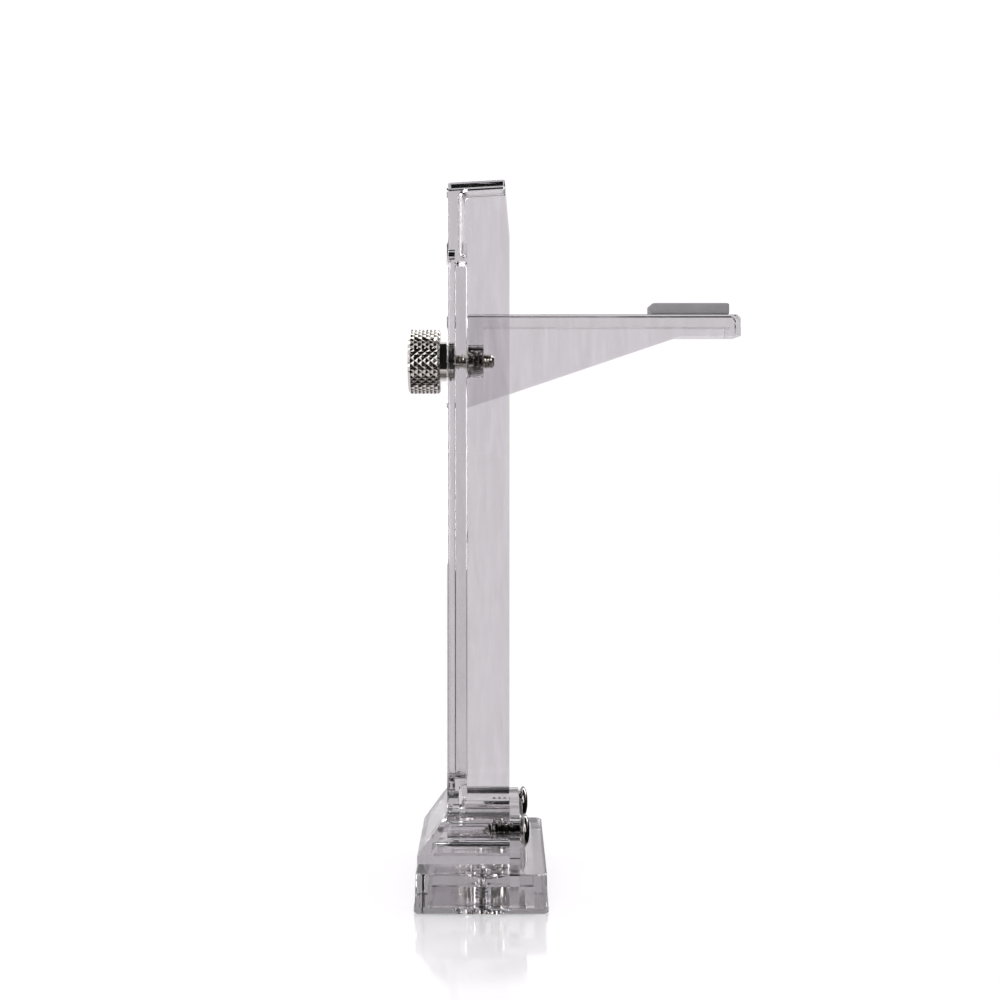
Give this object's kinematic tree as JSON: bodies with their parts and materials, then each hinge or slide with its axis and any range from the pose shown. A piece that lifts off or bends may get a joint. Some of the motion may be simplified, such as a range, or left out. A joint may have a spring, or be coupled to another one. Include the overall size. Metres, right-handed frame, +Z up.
{
  "type": "graphics card support bracket",
  "caption": "Free-standing clear bracket: a slotted mast on a weighted foot carries an arm that slides up and down, is clamped by a knurled thumbscrew and props up the end of a graphics card.",
  "frame": {"origin": "centre of the base's underside", "axes": "+Z up the mast, +X the way the arm points, +Y across the base"},
  "size_m": [0.0818, 0.06, 0.1742],
  "materials": {
    "clear_acrylic": "clear polished moulding with a faint grey tint",
    "grey_rubber": "matt mid-grey sponge rubber",
    "nickel_steel": "bright nickel plating on turned and cold-formed steel",
    "nickel_magnet": "bright nickel plating on a sintered disc"
  },
  "bodies": {
    "stand": {"column": "clear_acrylic", "base": "clear_acrylic", "base_plate": "clear_acrylic", "base_screws": "nickel_steel", "plate_screws": "nickel_steel", "magnet": "nickel_magnet"},
    "arm": {"arm": "clear_acrylic", "pad": "grey_rubber", "insert": "nickel_steel"},
    "thumbscrew": {"thumbscrew": "nickel_steel"}
  },
  "joints": [
    {"name": "arm_slide", "type": "slide", "parent": "stand", "child": "arm", "axis": [0, 0, 1], "range_m": [-0.1, 0.022]},
    {"name": "thumbscrew_turn", "type": "hinge", "parent": "arm", "child": "thumbscrew", "pos_m": [-0.0105, 0, 0.1303], "axis": [-1, 0, 0], "range_deg": [0, 720]}
  ]
}
